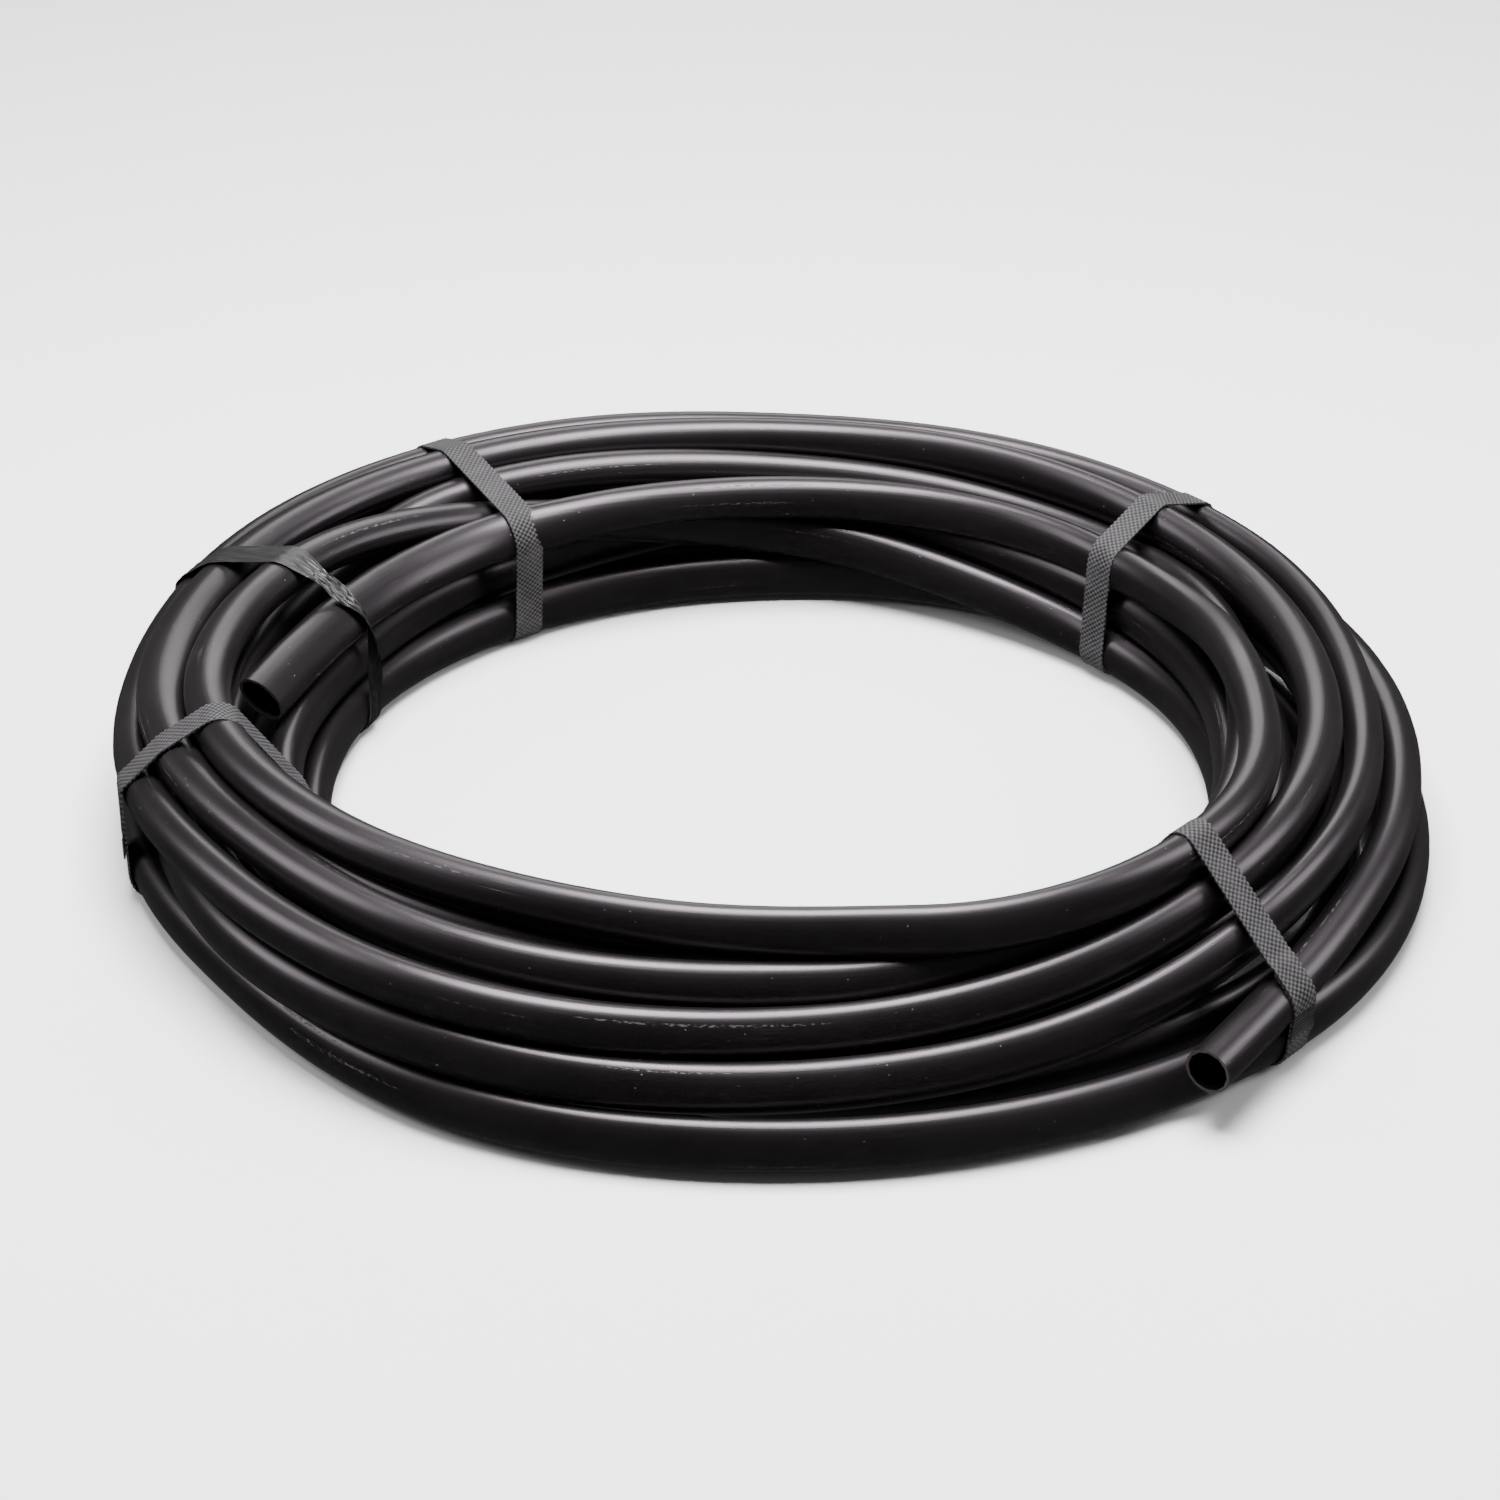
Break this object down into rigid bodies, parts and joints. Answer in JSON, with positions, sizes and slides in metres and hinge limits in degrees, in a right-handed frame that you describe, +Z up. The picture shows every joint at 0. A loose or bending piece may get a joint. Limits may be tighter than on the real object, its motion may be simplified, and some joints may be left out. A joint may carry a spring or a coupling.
{
  "type": "coil of irrigation pipe",
  "caption": "Flat strapped coil of plain black polyethylene irrigation pipe with two open cut ends, tied by woven straps and a film tape.",
  "frame": {"origin": "middle of the coil, on the floor it lies on", "axes": "+Z up along the coil's axis; the outer pipe end is at the front right (+X, -Y) and the inner pipe end on the left (-X)"},
  "size_m": [0.6386, 0.604, 0.0972],
  "materials": {
    "pipe": "semi-gloss extruded black polyethylene with light scuffs",
    "strap": "dark grey woven polypropylene strapping",
    "film": "thin stretched black film tape"
  },
  "bodies": {
    "root": {"hose_coil": "pipe", "hose_outer_end": "pipe", "hose_inner_end": "pipe", "strap_left_front": "strap", "strap_left_back": "strap", "strap_right_back": "strap", "strap_right_front": "strap", "tape_inner_end": "film"}
  },
  "joints": []
}
